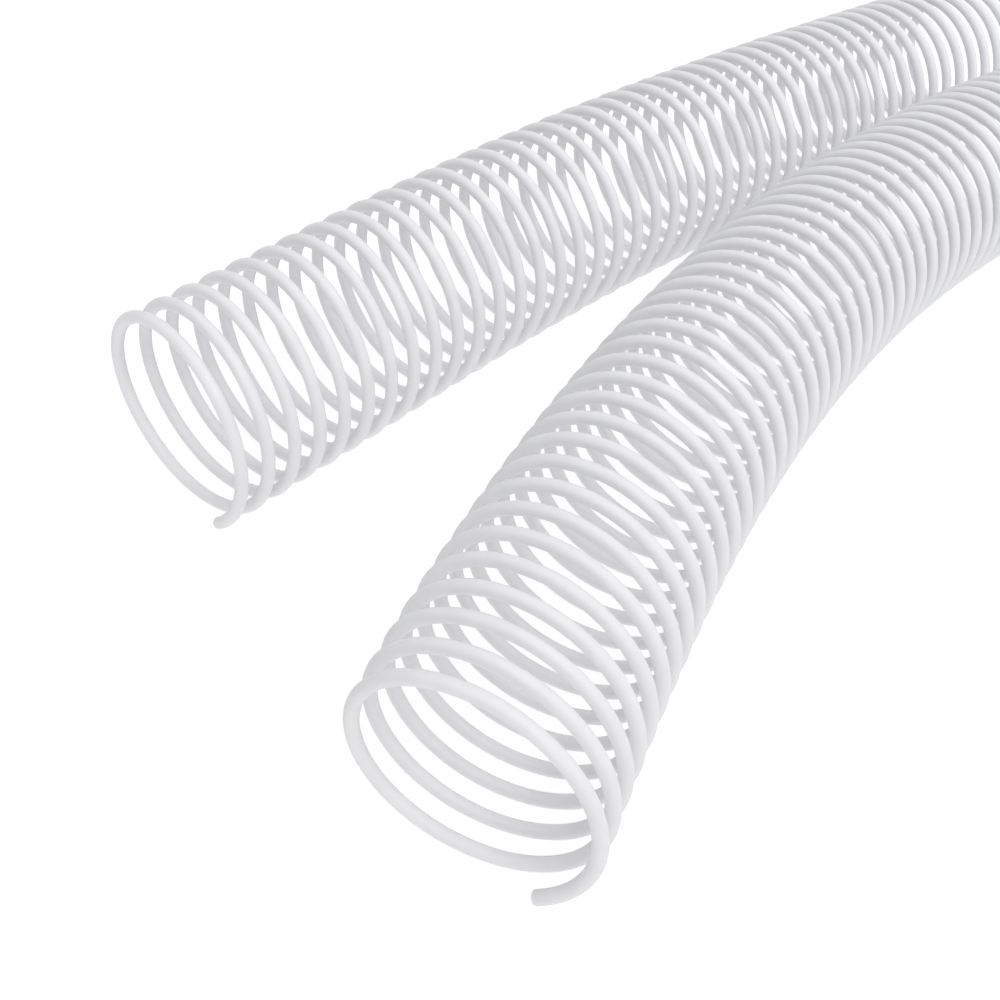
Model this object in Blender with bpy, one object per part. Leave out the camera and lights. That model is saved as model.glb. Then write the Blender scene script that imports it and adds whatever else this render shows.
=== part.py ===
"""A pair of plastic spiral guard coils, lying side by side on one surface.

Each coil is one round plastic filament, wound left-handed and cut square at both ends.  Nothing is
inside it and nothing holds it, so it lies in a slow bend, its turns a little closer here than there.

Frame: metres, +Z up.  The coils rest on z = 0, the origin is under the middle of the pair, and the
open ends in front face -Y.
"""

import math

import bmesh
import bpy
from mathutils import Vector

# --- Driving dimensions -----------------------------------------------------------------------------
COIL_OUTER_D = 0.045        # outside diameter of a turn
FILAMENT_D = 0.00256        # round filament
PITCH = 0.00635             # as wound: four turns to the inch
TURNS = 45                  # 286 mm long, laid straight as wound

WIND_RADIUS = (COIL_OUTER_D - FILAMENT_D) / 2   # from the coil's axis to the filament's centre

# --- How the two coils lie ----------------------------------------------------------------------------
# start    where the coil's axis begins, at its front end
# heading  the way the axis points there, in degrees from +X
# cut      where the filament begins on the first turn, in degrees from the turn's left side
# bends    for each BEND_TURNS turns, the axis's change of direction in degrees, + turning left,
#          and how far the turns are drawn apart, 1 being as wound
# leans    how far the turns lean from square to the axis, in degrees, at the ends of those bends
BEND_TURNS = 7.5
LIE = {
    "front_coil": {
        "start": (-0.03845, -0.14480),
        "heading": 72.0,
        "cut": -127.0,
        "bends": ((-3.8, 1.00), (-5.0, 1.03), (-5.4, 0.94), (-6.4, 0.91), (-5.8, 0.89), (-8.2, 0.88)),
        "leans": (5.5, 5.0, 3.5, 1.5, -1.0, -1.0, 0.0),
    },
    "rear_coil": {
        "start": (-0.10060, -0.06475),
        "heading": 50.0,
        "cut": -128.0,
        "bends": ((1.2, 1.03), (-2.6, 1.05), (-4.2, 1.06), (-2.2, 0.99), (-2.2, 0.93), (-1.4, 0.92)),
        "leans": (0.5, 3.5, 2.5, 0.0, 0.0, 0.0, 0.0),
    },
}

# --- Fineness of the faceted solids -------------------------------------------------------------------
CHORDS = 12                 # straight stretches to a turn
SIDES = 6                   # sides of the filament

# --- Material -----------------------------------------------------------------------------------------
COIL_COLOUR = (0.80, 0.80, 0.82, 1.0)
COIL_ROUGHNESS = 0.45

UP = Vector((0.0, 0.0, 1.0))


def clear_scene():
    """Start from an empty scene."""
    for obj in list(bpy.data.objects):
        bpy.data.objects.remove(obj, do_unlink=True)


def heading_at(lie, turn):
    """Direction of the coil's axis, in radians from +X, after so many turns."""
    degrees = lie["heading"]
    for index, (sweep, _) in enumerate(lie["bends"]):
        done = (turn - index * BEND_TURNS) / BEND_TURNS
        degrees += sweep * min(max(done, 0.0), 1.0)
    return math.radians(degrees)


def lean_at(lie, turn):
    """Angle of a turn from square to the axis, in radians."""
    leans = lie["leans"]
    index = min(int(turn / BEND_TURNS), len(leans) - 2)
    done = turn / BEND_TURNS - index
    return math.radians(leans[index] + (leans[index + 1] - leans[index]) * done)


def winding_stations(lie):
    """Turn counts of the filament's corners: the two cut ends, and a corner at every lowest point."""
    chord = 1.0 / CHORDS
    to_lowest = (math.radians(lie["cut"]) + math.pi / 2) / math.tau % chord
    stations = [0.0]
    for index in range(TURNS * CHORDS + 1):
        turn = to_lowest + index * chord
        if chord / 3 < turn < TURNS - chord / 3:
            stations.append(turn)
    stations.append(float(TURNS))
    return stations


def lay_filament(lie):
    """Centre of the filament and its outward direction at each station, following the bent axis."""
    axis = Vector((*lie["start"], COIL_OUTER_D / 2))
    before = 0.0
    centres = []
    outwards = []
    for turn in winding_stations(lie):
        middle = (before + turn) / 2
        index = min(int(middle / BEND_TURNS), len(lie["bends"]) - 1)
        stretch = lie["bends"][index][1]
        along = heading_at(lie, middle)
        axis += PITCH * stretch * (turn - before) * Vector((math.cos(along), math.sin(along), 0.0))
        before = turn
        facing = heading_at(lie, turn) - lean_at(lie, turn)
        left = Vector((-math.sin(facing), math.cos(facing), 0.0))
        angle = math.radians(lie["cut"]) - math.tau * turn
        outward = math.cos(angle) * left + math.sin(angle) * UP
        centres.append(axis + WIND_RADIUS * outward)
        outwards.append(outward)
    return centres, outwards


def filament_mesh(name, lie):
    """Closed mesh of one filament: a ring of corners at each station, bridged, and flat cut ends."""
    centres, outwards = lay_filament(lie)
    last = len(centres) - 1
    bm = bmesh.new()
    rings = []
    for index, (centre, outward) in enumerate(zip(centres, outwards)):
        tangent = (centres[min(index + 1, last)] - centres[max(index - 1, 0)]).normalized()
        radial = (outward - outward.dot(tangent) * tangent).normalized()
        sideways = tangent.cross(radial)
        ring = []
        for side in range(SIDES):
            angle = math.tau * side / SIDES
            offset = math.cos(angle) * radial + math.sin(angle) * sideways
            ring.append(bm.verts.new(centre + FILAMENT_D / 2 * offset))
        rings.append(ring)
    for ring, following in zip(rings, rings[1:]):
        for side in range(SIDES):
            beside = (side + 1) % SIDES
            bm.faces.new((ring[side], ring[beside], following[beside], following[side]))
    bm.faces.new(rings[0][::-1])
    bm.faces.new(rings[-1])
    bmesh.ops.recalc_face_normals(bm, faces=bm.faces)
    mesh = bpy.data.meshes.new(name)
    bm.to_mesh(mesh)
    bm.free()
    return mesh


def coil_material(name):
    """Milky white plastic."""
    material = bpy.data.materials.new(name)
    material.use_nodes = True
    shader = material.node_tree.nodes["Principled BSDF"]
    shader.inputs["Base Color"].default_value = COIL_COLOUR
    shader.inputs["Roughness"].default_value = COIL_ROUGHNESS
    shader.inputs["Metallic"].default_value = 0.0
    return material


def make_coil(name, lie):
    """One coil as a named object, with its origin on the surface under its front end."""
    mesh = filament_mesh(name, lie)
    origin = Vector((*lie["start"], 0.0))
    for vertex in mesh.vertices:
        vertex.co -= origin
    mesh.materials.append(coil_material(name + "_plastic"))
    mesh.shade_smooth()
    coil = bpy.data.objects.new(name, mesh)
    coil.location = origin
    bpy.context.scene.collection.objects.link(coil)
    return coil


clear_scene()
for coil_name, coil_lie in LIE.items():
    make_coil(coil_name, coil_lie)
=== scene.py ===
"""Looks for a pair of milky white plastic spiral guard coils, lying side by side.

Each packed coil is a coarse faceted filament.  Here it is wound again from the same dimensions as a
smooth round one, with the small unevenness of extruded plastic, and given its material.
"""

import math

import bpy
import numpy as np
from mathutils import Matrix, Vector


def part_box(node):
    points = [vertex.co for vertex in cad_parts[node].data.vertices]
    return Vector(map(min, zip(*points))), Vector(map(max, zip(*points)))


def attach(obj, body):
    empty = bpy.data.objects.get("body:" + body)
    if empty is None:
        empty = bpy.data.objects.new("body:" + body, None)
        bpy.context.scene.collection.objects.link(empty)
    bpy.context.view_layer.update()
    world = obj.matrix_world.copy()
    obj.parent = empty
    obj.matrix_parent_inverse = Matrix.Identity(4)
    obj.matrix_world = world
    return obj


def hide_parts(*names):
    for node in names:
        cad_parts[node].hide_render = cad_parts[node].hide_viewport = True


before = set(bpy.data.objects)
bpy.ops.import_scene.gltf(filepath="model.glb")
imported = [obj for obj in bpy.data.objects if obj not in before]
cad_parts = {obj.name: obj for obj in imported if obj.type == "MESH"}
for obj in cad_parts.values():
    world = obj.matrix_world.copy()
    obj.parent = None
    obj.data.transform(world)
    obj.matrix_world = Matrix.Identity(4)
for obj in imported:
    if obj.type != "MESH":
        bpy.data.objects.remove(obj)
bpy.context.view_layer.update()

# --- Dimensions of a coil, as the frame has them ----------------------------------------------------
COIL_OUTER_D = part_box("front_coil")[1].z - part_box("front_coil")[0].z
FILAMENT_D = 0.00256
PITCH = 0.00635
TURNS = 45
WIND_RADIUS = (COIL_OUTER_D - FILAMENT_D) / 2
TURN_LENGTH = math.hypot(math.tau * WIND_RADIUS, PITCH)

# --- How the two coils lie: where the axis starts and points, where the first turn is cut, for each
# BEND_TURNS turns the bend in degrees and how far they are drawn apart, and how far the turns lean
# from square at the ends of those bends
BEND_TURNS = 7.5
LIE = {
    "front_coil": {
        "start": (-0.03845, -0.14480),
        "heading": 72.0,
        "cut": -127.0,
        "bends": ((-3.8, 1.00), (-5.0, 1.03), (-5.4, 0.94), (-6.4, 0.91), (-5.8, 0.89), (-8.2, 0.88)),
        "leans": (5.5, 5.0, 3.5, 1.5, -1.0, -1.0, 0.0),
    },
    "rear_coil": {
        "start": (-0.10060, -0.06475),
        "heading": 50.0,
        "cut": -128.0,
        "bends": ((1.2, 1.03), (-2.6, 1.05), (-4.2, 1.06), (-2.2, 0.99), (-2.2, 0.93), (-1.4, 0.92)),
        "leans": (0.5, 3.5, 2.5, 0.0, 0.0, 0.0, 0.0),
    },
}

# --- Fineness of the smooth filament ----------------------------------------------------------------
STEPS = 72                  # rings to a turn
SIDES = 16                  # corners to a ring
EASE = 0.00018              # how far each cut edge is rounded over
QUARTER_ROUND = 0.3         # how far in from both faces a quarter round is halfway, as a share of EASE
SWELL = 0.012               # how much the drawn filament thickens and thins, as a share of its size
SWELL_WAVES = (2.3, 0.7)    # the two waves that it does so in, in radians to a turn

# --- Camera -------------------------------------------------------------------------------------------
CAMERA_AT = (-0.03607, -0.25478, 0.18301)
CAMERA_DOWN = 42.49         # degrees below the horizon
CAMERA_ROLL = 3.72          # degrees, anticlockwise as seen from behind it
CAMERA_SENSOR = 36.0        # mm across
CAMERA_LENS = 46.68         # mm
CAMERA_NEAR = 0.01          # nearest that it sees, in metres

# --- Plastic --------------------------------------------------------------------------------------------
PLASTIC = (0.785, 0.785, 0.80, 1.0)
PLASTIC_CLOUDY = (0.755, 0.755, 0.772, 1.0)
ROUGHNESS = 0.42            # on average; the drawn lines take it up and down by ROUGHNESS_SPREAD
ROUGHNESS_SPREAD = 0.07
IOR = 1.49
SPECULAR = 0.15             # nearly matt: the finish is soft, without clear highlights
DEPTH_WEIGHT = 0.3          # share of the light that spreads inside the plastic
DEPTH_RADIUS = (1.0, 1.0, 1.1)
DEPTH = 0.0012              # how far it spreads, about half the filament's thickness
LINES_SCALE = 5.0           # die lines to the filament's radius
LINES_RUN = 0.02            # how often they change along the filament, against across it
LINES_DEPTH = 0.00004
LINES_STRENGTH = 0.25
CLOUDS_SCALE = 160.0        # clouds to a metre
CLOUDS_RANGE = (0.3, 0.7)   # of the noise: all cloudy below, all clear above
PITS_SCALE = 2600.0         # pits to a metre
PITS_DEPTH = 0.00003
PITS_STRENGTH = 0.12

# --- Stage and light ------------------------------------------------------------------------------------
FLOOR_COLOUR = (0.3, 0.3, 0.3, 1.0)
FLOOR_ROUGHNESS = 0.8
FLOOR_SPECULAR = 0.1
FLOOR_GLOW_COLOUR = (1.0, 1.0, 1.0, 1.0)
FLOOR_GLOW = 0.77           # the floor is a softly lit white table, almost without shadows
FLOOR_REACH = 20.0          # from its middle to each side
FLOOR_TOP = -0.0002         # a hair under the coils, so the two never share a face
WORLD_COLOUR = (1.0, 1.0, 1.0, 1.0)
WORLD_STRENGTH = 0.43
LIGHTS = {                  # where each soft light stands, its size across and its power in watts
    "key": ((1.1, -3.4, 5.0), 4.5, 165.0),
    "top": ((0.3, 0.15, 1.5), 1.1, 9.0),
}
LIGHTS_AIM = (0.0, 0.0, 0.02)


# --- Shape ----------------------------------------------------------------------------------------------
def heading_at(lie, turns):
    """Direction of the coil's axis, in radians from +X, after so many turns."""
    degrees = np.full_like(turns, lie["heading"])
    for index, (sweep, _) in enumerate(lie["bends"]):
        degrees += sweep * np.clip((turns - index * BEND_TURNS) / BEND_TURNS, 0.0, 1.0)
    return np.radians(degrees)


def axis_at(lie, turns):
    """Points of the coil's axis: the turns' own length, laid along the heading."""
    middles = (turns[1:] + turns[:-1]) / 2
    heading = heading_at(lie, middles)
    stretch = np.array([drawn for _, drawn in lie["bends"]])
    block = np.minimum((middles / BEND_TURNS).astype(int), len(stretch) - 1)
    run = PITCH * stretch[block] * np.diff(turns)
    steps = np.stack([run * np.cos(heading), run * np.sin(heading), np.zeros_like(run)], 1)
    start = np.array([[*lie["start"], COIL_OUTER_D / 2]])
    return np.concatenate([start, start + np.cumsum(steps, 0)])


def filament(lie, turns):
    """Centre of the filament, and its outward direction, after so many turns."""
    ends = np.arange(len(lie["leans"])) * BEND_TURNS
    facing = heading_at(lie, turns) - np.radians(np.interp(turns, ends, lie["leans"]))
    angle = math.radians(lie["cut"]) - math.tau * turns
    outward = np.stack(
        [-np.cos(angle) * np.sin(facing), np.cos(angle) * np.cos(facing), np.sin(angle)], 1
    )
    return axis_at(lie, turns) + WIND_RADIUS * outward, outward


def ring_plan():
    """Turn count and size of each ring: full size, but for the eased edges at the two cuts."""
    ease = EASE / TURN_LENGTH
    middle = np.linspace(ease, TURNS - ease, TURNS * STEPS + 1)
    halfway = ease * QUARTER_ROUND
    turns = np.concatenate([[0.0, halfway], middle, [TURNS - halfway, float(TURNS)]])
    inset = EASE / (FILAMENT_D / 2)
    sizes = np.ones_like(turns)
    sizes[[0, -1]] = 1 - inset
    sizes[[1, -2]] = 1 - inset * QUARTER_ROUND
    return turns, sizes


def wind(name, lie):
    """One coil as a smooth closed mesh, with coordinates on it that run round and along the filament."""
    turns, sizes = ring_plan()
    centres, outward = filament(lie, turns)
    tangent = np.gradient(centres, turns, axis=0)
    tangent /= np.linalg.norm(tangent, axis=1, keepdims=True)
    radial = outward - (outward * tangent).sum(1, keepdims=True) * tangent
    radial /= np.linalg.norm(radial, axis=1, keepdims=True)
    sideways = np.cross(tangent, radial)

    around = np.arange(SIDES) * math.tau / SIDES
    swell = 1 + SWELL * np.sin(turns * SWELL_WAVES[0]) * np.sin(turns * SWELL_WAVES[1])
    reach = (sizes * swell)[:, None, None] * FILAMENT_D / 2
    corners = centres[:, None] + reach * (
        np.cos(around)[None, :, None] * radial[:, None] + np.sin(around)[None, :, None] * sideways[:, None]
    )
    count = len(turns)
    ring = np.arange(count - 1)[:, None] * SIDES
    side = np.arange(SIDES)[None]
    beside = (side + 1) % SIDES
    quads = np.stack([ring + side, ring + beside, ring + SIDES + beside, ring + SIDES + side], 2)
    faces = quads.reshape(-1, 4).tolist()
    faces.append(list(range(SIDES))[::-1])
    faces.append(list(range((count - 1) * SIDES, count * SIDES)))

    mesh = bpy.data.meshes.new(name)
    mesh.from_pydata(corners.reshape(-1, 3).tolist(), [], faces)
    grain = np.empty((count, SIDES, 3))
    grain[:, :, 0] = np.cos(around)
    grain[:, :, 1] = np.sin(around)
    grain[:, :, 2] = (turns * TURN_LENGTH / FILAMENT_D)[:, None]
    attribute = mesh.attributes.new("grain", "FLOAT_VECTOR", "POINT")
    attribute.data.foreach_set("vector", grain.reshape(-1))
    mesh.shade_smooth()
    mesh.polygons[-1].use_smooth = False
    mesh.polygons[-2].use_smooth = False
    coil = bpy.data.objects.new(name, mesh)
    bpy.context.scene.collection.objects.link(coil)
    return coil


# --- Material -------------------------------------------------------------------------------------------
def add(tree, kind, **values):
    """A new node, with the named inputs set."""
    node = tree.nodes.new(kind)
    for key, value in values.items():
        node.inputs[key.replace("_", " ")].default_value = value
    return node


def plastic(name):
    """Milky extruded plastic: light passes a little way in, faint die lines, slight clouding."""
    material = bpy.data.materials.new(name)
    material.use_nodes = True
    tree = material.node_tree
    shader = tree.nodes["Principled BSDF"]
    link = tree.links.new
    grain = tree.nodes.new("ShaderNodeAttribute")
    grain.attribute_name = "grain"

    stretch = tree.nodes.new("ShaderNodeMapping")
    stretch.inputs["Scale"].default_value = (1.0, 1.0, LINES_RUN)
    link(grain.outputs["Vector"], stretch.inputs["Vector"])
    lines = add(tree, "ShaderNodeTexNoise", Scale=LINES_SCALE, Detail=3.0, Roughness=0.6)
    link(stretch.outputs["Vector"], lines.inputs["Vector"])

    spots = tree.nodes.new("ShaderNodeTexCoord")
    clouds = add(tree, "ShaderNodeTexNoise", Scale=CLOUDS_SCALE, Detail=4.0, Roughness=0.55)
    link(spots.outputs["Object"], clouds.inputs["Vector"])

    colour = tree.nodes.new("ShaderNodeValToRGB")
    colour.color_ramp.elements[0].position = CLOUDS_RANGE[0]
    colour.color_ramp.elements[0].color = PLASTIC_CLOUDY
    colour.color_ramp.elements[1].position = CLOUDS_RANGE[1]
    colour.color_ramp.elements[1].color = PLASTIC
    link(clouds.outputs["Fac"], colour.inputs["Fac"])
    link(colour.outputs["Color"], shader.inputs["Base Color"])

    gloss = tree.nodes.new("ShaderNodeMapRange")
    gloss.inputs["To Min"].default_value = ROUGHNESS - ROUGHNESS_SPREAD
    gloss.inputs["To Max"].default_value = ROUGHNESS + ROUGHNESS_SPREAD
    link(lines.outputs["Fac"], gloss.inputs["Value"])
    link(gloss.outputs["Result"], shader.inputs["Roughness"])

    pits = add(tree, "ShaderNodeTexNoise", Scale=PITS_SCALE, Detail=2.0, Roughness=0.5)
    link(spots.outputs["Object"], pits.inputs["Vector"])
    fine = add(tree, "ShaderNodeBump", Strength=PITS_STRENGTH, Distance=PITS_DEPTH)
    link(pits.outputs["Fac"], fine.inputs["Height"])
    drawn = add(tree, "ShaderNodeBump", Strength=LINES_STRENGTH, Distance=LINES_DEPTH)
    link(lines.outputs["Fac"], drawn.inputs["Height"])
    link(fine.outputs["Normal"], drawn.inputs["Normal"])
    link(drawn.outputs["Normal"], shader.inputs["Normal"])

    shader.inputs["Metallic"].default_value = 0.0
    shader.inputs["IOR"].default_value = IOR
    shader.inputs["Specular IOR Level"].default_value = SPECULAR
    shader.inputs["Subsurface Weight"].default_value = DEPTH_WEIGHT
    shader.inputs["Subsurface Radius"].default_value = DEPTH_RADIUS
    shader.inputs["Subsurface Scale"].default_value = DEPTH
    return material


# --- Stage ----------------------------------------------------------------------------------------------
def make_floor():
    """Plain pale floor."""
    mesh = bpy.data.meshes.new("floor")
    mesh.from_pydata(
        [(x * FLOOR_REACH, y * FLOOR_REACH, FLOOR_TOP) for x, y in ((-1, -1), (1, -1), (1, 1), (-1, 1))],
        [], [(0, 1, 2, 3)],
    )
    floor = bpy.data.objects.new("floor", mesh)
    bpy.context.scene.collection.objects.link(floor)
    material = bpy.data.materials.new("floor_paint")
    material.use_nodes = True
    shader = material.node_tree.nodes["Principled BSDF"]
    shader.inputs["Base Color"].default_value = FLOOR_COLOUR
    shader.inputs["Roughness"].default_value = FLOOR_ROUGHNESS
    shader.inputs["Emission Color"].default_value = FLOOR_GLOW_COLOUR
    shader.inputs["Emission Strength"].default_value = FLOOR_GLOW
    shader.inputs["Specular IOR Level"].default_value = FLOOR_SPECULAR
    mesh.materials.append(material)


def make_light(name, at, size, power):
    """Soft square light aimed at the middle of the coils."""
    data = bpy.data.lights.new(name, "AREA")
    data.size = size
    data.energy = power
    light = bpy.data.objects.new(name, data)
    light.location = at
    aim = Vector(LIGHTS_AIM) - Vector(at)
    light.rotation_euler = aim.to_track_quat("-Z", "Y").to_euler()
    bpy.context.scene.collection.objects.link(light)


def make_world():
    """Even white surroundings."""
    world = bpy.data.worlds.new("studio")
    world.use_nodes = True
    background = world.node_tree.nodes["Background"]
    background.inputs["Color"].default_value = WORLD_COLOUR
    background.inputs["Strength"].default_value = WORLD_STRENGTH
    bpy.context.scene.world = world


def make_camera():
    """Camera at the viewing angle, close above the open ends."""
    data = bpy.data.cameras.new("camera")
    data.sensor_width = CAMERA_SENSOR
    data.lens = CAMERA_LENS
    data.clip_start = CAMERA_NEAR
    camera = bpy.data.objects.new("camera", data)
    turn = Matrix.Rotation(math.radians(90 - CAMERA_DOWN), 4, "X")
    turn = turn @ Matrix.Rotation(math.radians(CAMERA_ROLL), 4, "Z")
    camera.matrix_world = Matrix.Translation(CAMERA_AT) @ turn
    bpy.context.scene.collection.objects.link(camera)
    bpy.context.scene.camera = camera


for node, lie in LIE.items():
    coil = wind(node + "_filament", lie)
    coil.data.materials.append(plastic(node + "_milky_plastic"))
    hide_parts(node)
    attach(coil, node)

make_floor()
make_world()
for light_name, light_setting in LIGHTS.items():
    make_light(light_name, *light_setting)
make_camera()
bpy.context.scene.view_settings.view_transform = "Standard"
